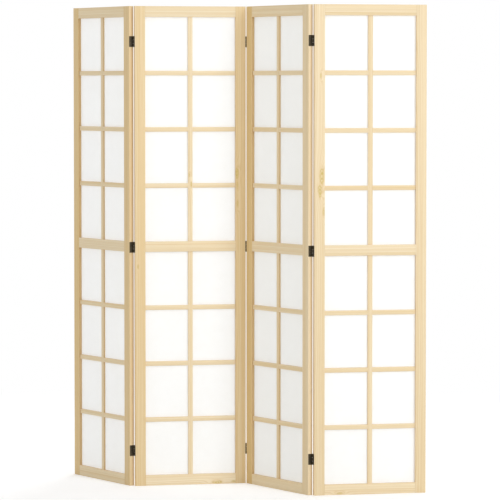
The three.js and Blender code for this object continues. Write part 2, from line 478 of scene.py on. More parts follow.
class Effect:
    """A shader node group that several materials share."""

    title = "effect"
    takes: dict[str, float | Colour] = {}

    def __init__(self) -> None:
        """Makes the group with its named sockets, and wires it."""
        self.group = bpy.data.node_groups.new(self.title, "ShaderNodeTree")
        for label, value in self.takes.items():
            kind = "NodeSocketVector" if isinstance(value, tuple) else "NodeSocketFloat"
            self._socket(label, "INPUT", kind).default_value = value
        wiring = Wiring(self.group)
        results = self.wire(wiring, wiring.node("NodeGroupInput").outputs)
        for label in results:
            self._socket(label, "OUTPUT", "NodeSocketFloat")
        wiring.node("NodeGroupOutput", results)

    def _socket(self, label: str, way: str, kind: str) -> bpy.types.NodeTreeInterfaceSocket:
        """Adds a named input or output to the group."""
        return self.group.interface.new_socket(name=label, in_out=way, socket_type=kind)

    def wire(self, wiring: Wiring, given: Sockets) -> dict[str, Socket]:
        """Wires the group.

        Args:
            wiring: adds nodes to the group.
            given: the group's inputs.

        Returns:
            The socket that feeds each named output.
        """
        raise NotImplementedError

    def placed(self, wiring: Wiring, **values: object) -> Sockets:
        """Returns the group's outputs in a material, fed by name, with _ for a space."""
        named = {key.replace("_", " "): value for key, value in values.items()}
        return wiring.node("ShaderNodeGroup", named, node_tree=self.group).outputs


class PineFigure(Effect):
    """Growth rings, soft bands and fibres of sawn pine.

    The board's vector runs along the grain, then across the board, then through it, and its
    last two parts count from the heart of the tree. So do the scales of the noises.
    """

    title = "Pine Figure"
    takes = {"Board": ORIGIN, "Ring Width": 3 * MM, "Wander": 6 * MM, "Push": 0.0}
    slow = (1.3, 11.0, 11.0)
    quick = (7.0, 60.0, 60.0)
    wide = (0.9, 130.0, 130.0)
    fine = (11.0, 750.0, 750.0)
    shiver = 1.2 * MM
    years = 0.45
    uneven = 1.6
    summer = (0.35, 0.9)
    winter = (0.9, 1.0)

    def wire(self, wiring: Wiring, given: Sockets) -> dict[str, Socket]:
        """Wires rings round the heart, bent by a slow noise, and streaks along the grain.

        Args:
            wiring: adds nodes to the group.
            given: the group's inputs.

        Returns:
            The socket that feeds each named output.
        """
        board = given["Board"]
        heart = wiring.distance(*wiring.parts(board)[1:])
        bend = wiring.math("SUBTRACT", wiring.noise(board, self.slow), 0.5)
        bent = wiring.math("ADD", heart, wiring.times(bend, given["Wander"]))
        shiver = wiring.math("SUBTRACT", wiring.noise(board, self.quick), 0.5)
        pushed = wiring.math("ADD", wiring.times(shiver, self.shiver), given["Push"])
        ring = wiring.math("ADD", bent, pushed)
        turns = wiring.math("DIVIDE", ring, given["Ring Width"])
        years = {"W": turns, "Scale": self.years, "Detail": 1.0}
        uneven = wiring.node("ShaderNodeTexNoise", years, noise_dimensions="1D").outputs[0]
        phase = wiring.math("FRACT", wiring.math("MULTIPLY_ADD", uneven, self.uneven, turns))
        winter = wiring.ramped(phase, self.winter, (1.0, 0.0))
        latewood = wiring.times(wiring.ramped(phase, self.summer), winter)
        wide = wiring.noise(board, self.wide, detail=1.5)
        bands = wiring.ramped(wide, (0.32, 0.68))
        fine = wiring.noise(board, self.fine, detail=3.0, roughness=0.6)
        fibre = wiring.ramped(fine, (0.25, 0.75))
        relief = wiring.math("MULTIPLY_ADD", latewood, 0.6, wiring.times(fibre, 0.4))
        return {"Latewood": latewood, "Bands": bands, "Fibre": fibre, "Relief": relief}


class PineKnot(Effect):
    """One knot: its heart, the dark ring round it, and how far it pushes the grain aside."""

    title = "Pine Knot"
    takes = {"Board": ORIGIN, "Centre": ORIGIN, "Radius": 6 * MM, "Push": 10 * MM, "Lean": 0.0}
    ragged = (90.0, 160.0, 0.0)
    squeeze = 0.3
    narrowest = 0.2
    pace = 13.0
    rim = (0.95, 1.25)
    ring_in = (0.7, 1.1)
    ring_out = (1.1, 1.9)
    pushed = (0.28, 1.0, 0.0)
    push_reach = 1.8
    push_fall = 2.718

    def wire(self, wiring: Wiring, given: Sockets) -> dict[str, Socket]:
        """Wires rings in an oval that is longer along the grain, and wider at one end.

        Args:
            wiring: adds nodes to the group.
            given: the group's inputs.

        Returns:
            The socket that feeds each named output.
        """
        away = wiring.vector("SUBTRACT", given["Board"], given["Centre"])
        along, aside, _ = wiring.parts(away)
        width = wiring.math("MULTIPLY_ADD", along, given["Lean"], 1.0)
        across = wiring.math("DIVIDE", aside, wiring.math("MAXIMUM", width, self.narrowest))
        near = wiring.distance(wiring.times(along, self.squeeze), across)
        near = wiring.math("DIVIDE", near, given["Radius"])
        ragged = wiring.noise(given["Board"], self.ragged)
        near = wiring.math("MULTIPLY_ADD", ragged, 0.5, near)
        turns = wiring.math("SINE", wiring.times(near, self.pace))
        filled = wiring.ramped(near, self.rim, (1.0, 0.0))
        heart = wiring.times(filled, wiring.ramped(turns, (-0.3, 0.7), (0.3, 1.0)))
        fading = wiring.ramped(near, self.ring_out, (1.0, 0.0))
        ring = wiring.times(wiring.ramped(near, self.ring_in), fading)
        far = wiring.length(wiring.vector("MULTIPLY", away, self.pushed))
        far = wiring.math("DIVIDE", far, wiring.times(given["Radius"], self.push_reach))
        fall = wiring.times(wiring.times(far, far), -1.0)
        spread = wiring.math("POWER", self.push_fall, fall)
        return {"Heart": heart, "Ring": ring, "Push": wiring.times(spread, given["Push"])}


class ArrisWear(Effect):
    """Rubbed edges: the eased edges of a piece, broken up by a noise."""

    title = "Arris Wear"
    takes = {"Arris": 0.0, "Place": ORIGIN, "Scale": 60.0, "Amount": 0.5}
    worn = (0.35, 0.6)

    def wire(self, wiring: Wiring, given: Sockets) -> dict[str, Socket]:
        """Wires the edge mask times a patchy noise.

        Args:
            wiring: adds nodes to the group.
            given: the group's inputs.

        Returns:
            The socket that feeds each named output.
        """
        values = {"Vector": given["Place"], "Scale": given["Scale"], "Detail": 3.0}
        patches = wiring.node("ShaderNodeTexNoise", values).outputs[0]
        worn = wiring.times(wiring.ramped(patches, self.worn), given["Arris"])
        return {"Wear": wiring.times(worn, given["Amount"])}


# ---------------- finishes


class Base:
    """A new material with its surface shader."""

    def __init__(self, name: str) -> None:
        """Makes the material, and leaves one Principled shader in it.

        Args:
            name: the material's name.
        """
        self.material = bpy.data.materials.new(name)
        self.material.use_nodes = True
        self.material.node_tree.nodes.clear()
        self.wiring = Wiring(self.material.node_tree)
        self.surface = self.wiring.node("ShaderNodeBsdfPrincipled")
        self.output = self.wiring.node("ShaderNodeOutputMaterial")
        self.show(self.surface)

    def set(self, **values: object) -> None:
        """Sets inputs of the surface shader by name, with _ for a space."""
        for key, value in values.items():
            feed(self.surface.inputs[key.replace("_", " ")], value)

    def show(self, shader: bpy.types.Node) -> None:
        """Shows a shader on the surface."""
        feed(self.output.inputs["Surface"], shader.outputs[0])

    def bump(self, height: Socket, distance: float, strength: float) -> None:
        """Feeds the shader's normal from a height of 0 to 1, for a rise over a distance."""
        values = {"Height": height, "Distance": distance, "Strength": strength}
        self.set(Normal=self.wiring.node("ShaderNodeBump", values).outputs[0])


@dataclass(frozen=True)
class Knot:
    """A knot on a board, measured along the board and across it from its low left corner.

    lean is how much wider the knot gets for each metre along the board.
    """

    along: float
    across: float
    radius: float
    push: float
    lean: float = 0.0
    strength: float = 0.95


@dataclass(frozen=True)
class PineFinish:
    """Pale pine under clear satin lacquer, with painted shade on the faces round its openings
    and painted light on some outer faces.
    """

    pale: Colour = (0.945, 0.815, 0.590)
    honey: Colour = (0.805, 0.580, 0.272)
    late: Colour = (0.720, 0.505, 0.215)
    inner: Colour = (0.640, 0.420, 0.200)
    # inner is the colour of the painted shade on the faces round the openings
    knot: Colour = (0.640, 0.475, 0.120)
    rubbed: Colour = (0.930, 0.780, 0.540)
    ring_width: float = 3.1 * MM
    bands: float = 0.3
    streaks: float = 0.42
    threads: float = 0.12
    ends: float = 0.4
    # shade is how strong that painted shade is
    shade: float = 0.7
    roughness: float = 0.5
    fibre_roughness: float = 0.12
    late_gloss: float = 0.06
    rubbed_gloss: float = 0.15
    relief: float = 0.12 * MM

    def made(
        self,
        name: str,
        figure: PineFigure,
        knot: PineKnot,
        wear: ArrisWear,
        knots: Sequence[tuple[Vector, Knot]] = (),
        wander: float = 6 * MM,
    ) -> bpy.types.Material:
        """Makes the material.

        Args:
            name: the material's name.
            figure: the shared grain.
            knot: the shared knot.
            wear: the shared edge wear.
            knots: knots with their centres on the board's own vector.
            wander: how far the grain drifts across the board.

        Returns:
            The material.
        """
        base = Base(name)
        wiring = base.wiring
        board = wiring.attribute("board", "Vector")
        masks = ("tint", "arris", "end_grain", "inside")
        tint, arris, end, inside = (wiring.attribute(mask) for mask in masks)
        push: float | Socket = 0.0
        marks: list[tuple[Socket, Colour]] = []
        for centre, one in knots:
            sizes = {"Radius": one.radius, "Push": one.push, "Lean": one.lean}
            out = knot.placed(wiring, Board=board, Centre=centre, **sizes)
            marks.append((wiring.times(out["Ring"], one.strength / 3), self.late))
            marks.append((wiring.times(out["Heart"], one.strength), self.knot))
            push = wiring.math("ADD", push, out["Push"])
        grain = figure.placed(
            wiring, Board=board, Ring_Width=self.ring_width, Wander=wander, Push=push
        )
        bands = wiring.math("MULTIPLY_ADD", grain["Bands"], self.bands, -self.bands / 2)
        rubbed = wear.placed(wiring, Arris=arris, Place=board, Scale=70.0, Amount=0.3)["Wear"]
        colour = wiring.layered(
            self.pale,
            (wiring.math("MAXIMUM", wiring.math("ADD", tint, bands), 0.0), self.honey),
            (wiring.times(grain["Latewood"], self.streaks), self.late),
            (wiring.ramped(grain["Fibre"], (0.0, 1.0), (self.threads, 0.0)), self.late),
            *marks,
            (wiring.times(end, self.ends), self.late),
            # painted light where the shading mask is below 0, then painted shade towards inner
            # where it is above 0
            (wiring.times(inside, -1.0), self.pale),
            (wiring.times(inside, self.shade), self.inner),
            (rubbed, self.rubbed),
        )
        least = self.roughness - self.fibre_roughness / 2
        rough = wiring.math("MULTIPLY_ADD", grain["Fibre"], self.fibre_roughness, least)
        gloss = wiring.times(grain["Latewood"], self.late_gloss)
        rough = wiring.math("SUBTRACT", rough, gloss)
        rough = wiring.math("MULTIPLY_ADD", rubbed, -self.rubbed_gloss, rough)
        base.set(Base_Color=colour, Roughness=rough, Specular_IOR_Level=0.3)
        base.set(Coat_Weight=0.04, Coat_Roughness=0.3)
        base.bump(grain["Relief"], self.relief, strength=0.5)
        return base.material


@dataclass(frozen=True)
class PaperFinish:
    """White rice paper that lets light through, with long pale fibres in it, and painted shade
    where its tint is set.

    strands holds the turn of each set of fibres, and its noise's scale along and across.
    """

    white: Colour = (0.970, 0.972, 0.968)
    fibre: Colour = (0.905, 0.900, 0.880)
    # the grey of the painted shade on the paper of a panel that stands in less light
    painted_shade_grey: Colour = (0.900, 0.900, 0.880)
    clouds: Colour = (38.0, 38.0, 38.0)
    strands: tuple[Colour, ...] = ((0.5, 55.0, 900.0), (2.2, 48.0, 760.0), (-0.9, 60.0, 820.0))
    strand: Span = (0.66, 0.8)
    haze: float = 0.16
    strength: float = 0.4
    through: float = 0.5
    roughness: float = 0.85
    fibre_gloss: float = 0.15
    relief: float = 0.08 * MM

    def made(self, name: str) -> bpy.types.Material:
        """Makes the material.

        Args:
            name: the material's name.

        Returns:
            The material.
        """
        base = Base(name)
        wiring = base.wiring
        place = wiring.attribute("sheet", "Vector")
        cloud = wiring.noise(place, self.clouds, detail=4.0, roughness=0.6)
        fibres: float | Socket = 0.0
        for turn, along, across in self.strands:
            values = {"Vector": place, "Angle": turn}
            turned = wiring.node("ShaderNodeVectorRotate", values, rotation_type="Z_AXIS")
            noise = wiring.noise(turned.outputs[0], (along, across, 1.0), detail=1.0)
            fibres = wiring.math("MAXIMUM", fibres, wiring.ramped(noise, self.strand))
        colour = wiring.layered(
            self.white,
            (wiring.ramped(cloud, (0.3, 0.7), (0.0, self.haze)), self.fibre),
            (wiring.times(fibres, self.strength), self.fibre),
            # painted shade: the paper is drawn greyer where its tint is set
            (wiring.attribute("tint"), self.painted_shade_grey),
        )
        rough = wiring.math("MULTIPLY_ADD", fibres, -self.fibre_gloss, self.roughness)
        base.set(Base_Color=colour, Roughness=rough, Specular_IOR_Level=0.2)
        height = wiring.math("MULTIPLY_ADD", fibres, 0.6, wiring.times(cloud, 0.4))
        base.bump(height, self.relief, strength=0.35)
        glow = wiring.node("ShaderNodeBsdfTranslucent", {"Color": colour})
        values = {0: self.through, 1: base.surface.outputs[0], 2: glow.outputs[0]}
        base.show(wiring.node("ShaderNodeMixShader", values))
        return base.material


@dataclass(frozen=True)
class BronzeFinish:
    """Dark bronze lacquer on steel, rubbed brighter on its edges."""

    dark: Colour = (0.088, 0.074, 0.050)
    brown: Colour = (0.130, 0.106, 0.068)
    bright: Colour = (0.270, 0.220, 0.145)
    patches: Colour = (230.0, 230.0, 230.0)
    specks: Colour = (2400.0, 2400.0, 2400.0)
    metallic: float = 0.75
    roughness: float = 0.4
    patch_roughness: float = 0.16
    rubbed_gloss: float = 0.14
    relief: float = 0.03 * MM

    def made(self, name: str, wear: ArrisWear) -> bpy.types.Material:
        """Makes the material.

        Args:
            name: the material's name.
            wear: the shared edge wear.

        Returns:
            The material.
        """
        base = Base(name)
        wiring = base.wiring
        place = wiring.node("ShaderNodeTexCoord").outputs["Object"]
        arris = wiring.attribute("arris")
        rubbed = wear.placed(wiring, Arris=arris, Place=place, Scale=420.0, Amount=0.7)["Wear"]
        patches = wiring.noise(place, self.patches, detail=3.0)
        brown = (wiring.ramped(patches, (0.35, 0.7)), self.brown)
        colour = wiring.layered(self.dark, brown, (rubbed, self.bright))
        least = self.roughness - self.patch_roughness / 2
        rough = wiring.math("MULTIPLY_ADD", patches, self.patch_roughness, least)
        rough = wiring.math("MULTIPLY_ADD", rubbed, -self.rubbed_gloss, rough)
        base.set(Base_Color=colour, Roughness=rough, Metallic=self.metallic)
        base.bump(wiring.noise(place, self.specks), self.relief, strength=0.4)
        return base.material


# ---------------- wooden pieces


@dataclass(frozen=True)
class PanelSizes:
    """Measures that a panel's pieces share."""

    height: float = 1700 * MM
    width: float = 400 * MM
    thickness: float = 17.5 * MM
    stile: float = 37 * MM
    top_rail: float = 38 * MM
    middle_rail: float = 36.5 * MM
    bottom_rail: float = 37 * MM
    middle: float = 850 * MM
    bar: float = 16 * MM
    bar_depth: Span = (3.8 * MM, 10.3 * MM)
    bar_pitch: float = 199 * MM
    bars: int = 3
    lap: float = 9 * MM
    rebate: float = 10 * MM
    rail_tenon: float = 20 * MM
    rail_tenon_height: float = 26 * MM
    rail_tenon_depth: Span = (4.5 * MM, 9.5 * MM)
    bar_tenon: float = 6 * MM
    bar_tenon_width: float = 10 * MM
    bar_tenon_depth: Span = (5.3 * MM, 8.8 * MM)
    fit: float = 0.2 * MM
    past: float = 1 * MM

    @property
    def rails(self) -> dict[str, Span]:
        """Lowest and highest z of each rail."""
        return {
            "bottom": (0.0, self.bottom_rail),
            "middle": about(self.middle, self.middle_rail),
            "top": (self.height - self.top_rail, self.height),
        }

    @property
    def openings(self) -> dict[str, Span]:
        """Lowest and highest z of the space between two rails."""
        bottom, middle, top = self.rails.values()
        return {"lower": (bottom[1], middle[0]), "upper": (middle[1], top[0])}

    @property
    def inside_x(self) -> Span:
        """Lowest and highest x of the space between the stiles."""
        return (self.stile, self.width - self.stile)

    @property
    def inside_z(self) -> Span:
        """Lowest and highest z of the space between the outer rails."""
        return (self.rails["bottom"][1], self.rails["top"][0])

    @property
    def step(self) -> Span:
        """The y of a cutter for the step that the paper is glued on."""
        return (self.bar_depth[1], self.thickness + self.past)

    def levels(self, opening: str) -> list[float]:
        """Returns the heights of the crossbars' middles in an opening."""
        middle = sum(self.openings[opening]) / 2
        return [middle + (i - (self.bars - 1) / 2) * self.bar_pitch for i in range(self.bars)]

    def inward(self, side: Side, distance: float) -> float:
        """Returns x at a distance in from the left or the right edge."""
        return distance if side is Side.LEFT else self.width - distance


def tenoned(
    piece: Piece, axis: int, ends: Span, section: dict[int, Span], length: float
) -> None:
    """Draws a tenon out of both ends of a board.

    Args:
        piece: the board.
        axis: the axis that the board runs along.
        ends: the places of its end faces on that axis.
        section: the tenons' span on each of the other two axes.
        length: how far the tenons stand out.
    """
    for end, way in zip(ends, (-1, 1), strict=True):
        with Bench.editing(piece, Kind.FACE, at(axis, end)):
            bpy.ops.mesh.inset(thickness=1 * MM, depth=0)
            form = bmesh.from_edit_mesh(piece.data)
            chosen = [vert for vert in form.verts if vert.select]
            factors, centre, shift, out = [1.0] * 3, [0.0] * 3, [0.0] * 3, [0.0] * 3
            centre[axis], out[axis] = end, way * length
            for other, (low, high) in section.items():
                values = [vert.co[other] for vert in chosen]
                factors[other] = (high - low) / (max(values) - min(values))
                centre[other] = (max(values) + min(values)) / 2
                shift[other] = (low + high) / 2 - centre[other]
            bpy.ops.transform.resize(value=factors, center_override=centre)
            bpy.ops.transform.translate(value=shift)
            bpy.ops.mesh.extrude_region_move(TRANSFORM_OT_translate={"value": out})


def dressed(
    piece: Piece, run: Run, outer: float | None = None, shade: float = 0.0
) -> Piece:
    """Finishes a board: tidy faces, and masks for its eased edges, ends and painted shade.

    Args:
        piece: the board.
        run: the way its grain runs.
        outer: where the board's face on the panel's outline is, if it has one.
        shade: how much painted shade that face gets beside the faces round the openings, below
            0 painted light.

    Returns:
        The board.
    """
    Bench.tidy(piece)
    along, across, _ = run.value
    normals = np.abs(Bench.read(piece.data.polygons, "normal"))
    # painted shade on the faces that face across the board: those round the openings and the
    # bars' sides
    inside = (normals[:, across] > SQUARE).astype(float)
    if outer is not None:
        centres = Bench.read(piece.data.polygons, "center")
        # the outer face gets its own share: painted shade, or painted light below 0
        inside[np.abs(centres[:, across] - outer) < 0.1 * MM] *= shade
    Bench.mark(piece, "arris", normals.max(axis=1) < SQUARE, Kind.FACE)
    Bench.mark(piece, "end_grain", normals[:, along] > SQUARE, Kind.FACE)
    Bench.mark(piece, "inside", inside, Kind.FACE)
    return piece


@dataclass
class Stile:
    """An upright of a panel's frame, with its mortises, rebate and hinge gains."""

    sizes: PanelSizes
    side: Side
    gains: Sequence[Callable[[], Piece]] = ()
    arris: float = 0.6 * MM
    inner_arris: float = 0.3 * MM
    # painted shade on a left stile's outer face, beside the shaded gap at a fold; painted
    # light on a right stile's outer face
    left_edge_painted_shade: float = 0.9
    right_edge_painted_light: float = -0.3

    def build(self) -> Piece:
        """Models the stile.

        Returns:
            The stile in its panel's frame.
        """
        s = self.sizes
        outer, inner = s.inward(self.side, 0), s.inward(self.side, s.stile)
        piece = Bench.block("stile", (outer, inner), (0, s.thickness), (0, s.height))
        Bench.ease(piece, self.arris, 4, running(2, at(0, outer)))
        Bench.ease(piece, self.inner_arris, 2, running(2, at(0, inner)))
        Bench.ease(piece, self.arris, 3, at(2, 0, s.height))
        Bench.cut(piece, [*self._cutters(), *(gain() for gain in self.gains)])
        # painted shade or painted light on the stile's outer face
        shade = self.left_edge_painted_shade if self.side is Side.LEFT else self.right_edge_painted_light
        return dressed(piece, Run.UP, outer, shade)

    def _cutters(self) -> list[Piece]:
        """Makes the cutters for the paper's rebate and for the rails' and bars' mortises.

        Returns:
            The cutters.
        """
        s = self.sizes
        cuts = [(s.rebate, s.step, wider(s.inside_z, s.rebate))]
        for low, high in s.rails.values():
            tall = wider(about((low + high) / 2, s.rail_tenon_height), s.fit)
            cuts.append((s.rail_tenon + s.fit, wider(s.rail_tenon_depth, s.fit), tall))
        for opening in s.openings:
            for level in s.levels(opening):
                tall = wider(about(level, s.bar_tenon_width), s.fit)
                cuts.append((s.bar_tenon + s.fit, wider(s.bar_tenon_depth, s.fit), tall))
        mouth = s.inward(self.side, s.stile + s.past)
        return [
            Bench.block("cutter", (s.inward(self.side, s.stile - sunk), mouth), deep, tall)
            for sunk, deep, tall in cuts
        ]


@dataclass
class Rail:
    """A level board of a panel's frame, tenoned into both stiles."""

    sizes: PanelSizes
    place: str
    inner_arris: float = 0.3 * MM
    outer_arris: float = 0.7 * MM

    def build(self) -> Piece:
        """Models the rail, with a rebate for the paper and mortises for the upright bars.

        Returns:
            The rail in its panel's frame.
        """
        s = self.sizes
        low, high = s.rails[self.place]
        outer = {"bottom": low, "top": high}.get(self.place)
        inner = {high: -1, low: 1}
        inner.pop(outer, None)
        back = s.bar_depth[1] if outer is None else s.thickness
        run = wider(s.inside_x, -s.fit)
        piece = Bench.block("rail", run, (0, back), (low, high))
        section = {1: s.rail_tenon_depth, 2: about((low + high) / 2, s.rail_tenon_height)}
        tenoned(piece, 0, run, section, s.rail_tenon + s.fit)
        if outer is not None:
            Bench.ease(piece, self.outer_arris, 3, running(0, at(2, outer)))
        Bench.ease(piece, self.inner_arris, 2, running(0, at(1, 0), at(2, *inner)))
        wide = wider(about(s.width / 2, s.bar_tenon_width), s.fit)
        deep = wider(s.bar_tenon_depth, s.fit)
        cutters = []
        for z, way in inner.items():
            mouth = z - way * s.past
            mortise = (z + way * (s.bar_tenon + s.fit), mouth)
            cutters.append(Bench.block("mortise", wide, deep, mortise))
            if outer is not None:
                rebate = (z + way * s.rebate, mouth)
                across = wider(s.inside_x, s.past)
                cutters.append(Bench.block("rebate", across, s.step, rebate))
        Bench.cut(piece, cutters)
        return dressed(piece, Run.ACROSS, outer)


@dataclass
class LatticeBar:
    """A bar of a lattice, half cut away where it crosses others: behind if it is upright."""

    sizes: PanelSizes
    run: Run
    ends: Span
    middle: float
    crossings: Sequence[float]
    arris: float = 0.5 * MM
    lap_gap: float = 0.08 * MM

    def build(self) -> Piece:
        """Models the bar.

        Returns:
            The bar in its panel's frame.
        """
        s, run = self.sizes, self.run
        along, across, through = run.value
        front, back = s.bar_depth
        wide = about(self.middle, s.bar)
        piece = Bench.block("bar", *run.ordered(self.ends, wide, s.bar_depth))
        section = {across: about(self.middle, s.bar_tenon_width), through: s.bar_tenon_depth}
        tenoned(piece, along, self.ends, section, s.bar_tenon)
        Bench.ease(piece, self.arris, 2, running(along, at(through, front)))
        half = (front - s.past, (front + back) / 2 + self.lap_gap)
        if run is Run.UP:
            half = ((front + back) / 2 - self.lap_gap, back + s.past)
        notches = []
        for place in self.crossings:
            lap = wider(about(place, s.bar), self.lap_gap)
            spans = run.ordered(lap, wider(wide, s.past), half)
            notches.append(Bench.block("notch", *spans))
        Bench.cut(piece, notches)
        return dressed(piece, run)


@dataclass
class PaperSheet:
    """One sheet of paper for a whole panel, glued behind its bars and drawn tight."""

    sizes: PanelSizes
    thickness: float = 0.25 * MM
    gap: float = 0.25 * MM
    rise: float = 0.22 * MM
    slope: float = 22 * MM

    @property
    def flat(self) -> tuple[float, float]:
        """The sheet's width and length before it was glued."""
        inside = (self.sizes.inside_x, self.sizes.inside_z)
        return tuple(high - low + 2 * self.sizes.lap for low, high in inside)

    def build(self) -> Piece:
        """Models the sheet.

        Returns:
            The sheet in its panel's frame.
        """
        s = self.sizes
        width, length = self.flat
        middle = (s.width / 2, s.bar_depth[1] + self.gap, sum(s.inside_z) / 2)
        upright = {"size": 1, "location": middle, "rotation": (math.radians(90), 0, 0)}
        piece = Bench.added("paper", bpy.ops.mesh.primitive_plane_add, **upright)
        with Bench.editing(piece, Kind.FACE):
            bpy.ops.transform.resize(value=(width, 1, length), center_override=middle)
        left, right = s.inside_x
        cuts = {0: [left, *about(s.width / 2, s.bar), right], 2: []}
        for opening, (low, high) in s.openings.items():
            edges = [edge for level in s.levels(opening) for edge in about(level, s.bar)]
            cuts[2] += [low, *edges, high]
        for axis, values in cuts.items():
            Bench.slice(piece, axis, values)

        def in_pane(face: bmesh.types.BMFace) -> bool:
            """True for a face that no bar or board stands before."""
            return all(
                any(between(face, axis, pane) for pane in zip(values[::2], values[1::2]))
                for axis, values in cuts.items()
            )

        with Bench.editing(piece, Kind.FACE, in_pane):
            bpy.ops.mesh.inset(thickness=self.slope, depth=0, use_individual=True)
            bpy.ops.transform.translate(value=(0, self.rise, 0))
        Bench.take(piece)
        wall = piece.modifiers.new("thickness", "SOLIDIFY")
        wall.thickness = self.thickness
        wall.offset = -1
        bpy.ops.object.modifier_apply(modifier=wall.name)
        Bench.tidy(piece, angle=40)
        return piece


# ---------------- hinges


@dataclass
class Hinge:
    """A butt hinge of two leaves, a pin and four screws.

    Its pieces are made about its pin: x goes into the panel's width, y from the pin across
    the panel's thickness, and z up from the hinge's middle. The faces of its eased edges are
    told from the others by the share of each axis in their normals: tilt is the least share,
    and steep the most.
    """

    sizes: PanelSizes
    height: float = 38 * MM
    leaf: float = 1.1 * MM
    reach: float = 17.6 * MM
    notch: float = 2.4 * MM
    edge_gap: float = 2.0 * MM
    standoff: float = 0.6 * MM
    pin_radius: float = 0.7 * MM
    pin_past: float = 0.3 * MM
    pin_arris: float = 0.25 * MM
    pin_sides: int = 20
    leaf_arris: float = 0.15 * MM
    leaf_sharp: float = 50.0
    knuckles: int = 3
    knuckle_gap: float = 0.8 * MM
    roll: float = 290.0
    roll_steps: int = 22
    screw_pitch: float = 22 * MM
    screw_length: float = 12 * MM
    screw_head: float = 2.6 * MM
    screw_shank: float = 1.3 * MM
    screw_sink: float = 1.6 * MM
    screw_point: float = 3 * MM
    screw_arris: float = 0.12 * MM
    screw_tip: float = 0.15 * MM
    screw_sides: int = 24
    cross: Span = (0.75 * MM, 2.9 * MM)
    cross_depth: float = 0.9 * MM
    cross_past: float = 0.5 * MM
    cross_taper: float = 0.55
    fit: float = 0.12 * MM
    tilt: float = 0.15
    steep: float = 0.97
    heights: dict[str, float] = field(
        default_factory=lambda: {"bottom": 125 * MM, "middle": 848 * MM, "top": 1575 * MM}
    )

    @property
    def inner(self) -> float:
        """How far a leaf's open face is from the pin's axis."""
        return self.edge_gap / 2

    @property
    def screw_y(self) -> float:
        """How far the screws are from the pin's axis."""
        return (self.notch + self.reach) / 2

    @property
    def screw_levels(self) -> Span:
        """The heights of a leaf's two screws from the hinge's middle."""
        return about(0, self.screw_pitch)

    def place(self, side: Side, face: Face, level: float) -> Matrix:
        """Returns where the hinge's own frame lies in a panel's frame.

        Args:
            side: the panel's edge that the hinge is on.
            face: the face that the knuckles stand on.
            level: the height of the hinge's middle.

        Returns:
            A turn and a shift, with no mirror in it.
        """
        s = self.sizes
        x = s.inward(side, -self.inner)
        y = -self.standoff if face is Face.FRONT else s.thickness + self.standoff
        flip_x = 1 if side is Side.LEFT else -1
        flip_y = 1 if face is Face.FRONT else -1
        turn = Matrix.Diagonal((flip_x, flip_y, flip_x * flip_y, 1))
        return Matrix.Translation((x, y, level)) @ turn

    def knuckle_span(self, index: int) -> Span:
        """Finds where a knuckle is.

        Args:
            index: its number, from the lowest.

        Returns:
            Its lowest and highest z.
        """
        length = (self.height - (self.knuckles - 1) * self.knuckle_gap) / self.knuckles
        low = -self.height / 2 + index * (length + self.knuckle_gap)
        return (low, low + length)

    def leaf_piece(self, owned: Sequence[int]) -> Piece:
        """Models a leaf: a plate whose tongues are rolled round the pin.

        Args:
            owned: the numbers of its knuckles, from the lowest.

        Returns:
            The leaf about its pin.
        """
        half = self.height / 2
        plate = (self.inner, self.inner + self.leaf)
        piece = Bench.block("leaf", plate, (self.notch, self.reach), (-half, half))
        spans = [self.knuckle_span(index) for index in owned]
        ends = sorted({z for span in spans for z in span})
        Bench.slice(piece, 2, [z for z in ends if abs(z) < half - NEAR])
        root = at(1, self.notch)

        def tongue(face: bmesh.types.BMFace) -> bool:
            """True for an end face of the plate where a knuckle starts."""
            return root(face) and any(between(face, 2, span) for span in spans)

        def rim(edge: bmesh.types.BMEdge) -> bool:
            """Tells a leaf's outer edges: its knuckle ends and the plate's open face.

            Args:
                edge: an edge of the leaf.

            Returns:
                True if it is one of them, and sharp.
            """
            if len(edge.link_faces) != 2 or edge.calc_face_angle(0) < sharp:
                return False
            middle = (edge.verts[0].co + edge.verts[1].co) / 2
            return middle.y < self.notch * 0.8 or middle.x < self.inner + NEAR

        sharp, roll = math.radians(self.leaf_sharp), math.radians(self.roll)
        with Bench.editing(piece, Kind.FACE, tongue):
            back = {"value": (0, -self.notch, 0)}
            bpy.ops.mesh.extrude_region_move(TRANSFORM_OT_translate=back)
            bpy.ops.mesh.spin(
                steps=self.roll_steps, angle=roll, center=(0, 0, 0), axis=(0, 0, 1)
            )
        Bench.tidy(piece)
        Bench.ease(piece, self.leaf_arris, 2, rim)
        Bench.cut(piece, [self._sink(level) for level in self.screw_levels])
        return self._finished(piece)

    def _finished(self, piece: Piece) -> Piece:
        """Tidies a metal piece, and masks the faces that slant to mark its eased edges.

        Args:
            piece: the piece.

        Returns:
            The piece.
        """
        Bench.tidy(piece, angle=35)
        x, y, z = np.abs(Bench.read(piece.data.polygons, "normal")).T
        slant = (z > self.tilt) & (z < self.steep)
        corner = (x > self.tilt) & (y > self.tilt) & (z > 0.05)
        Bench.mark(piece, "arris", slant | corner, Kind.FACE)
        return piece

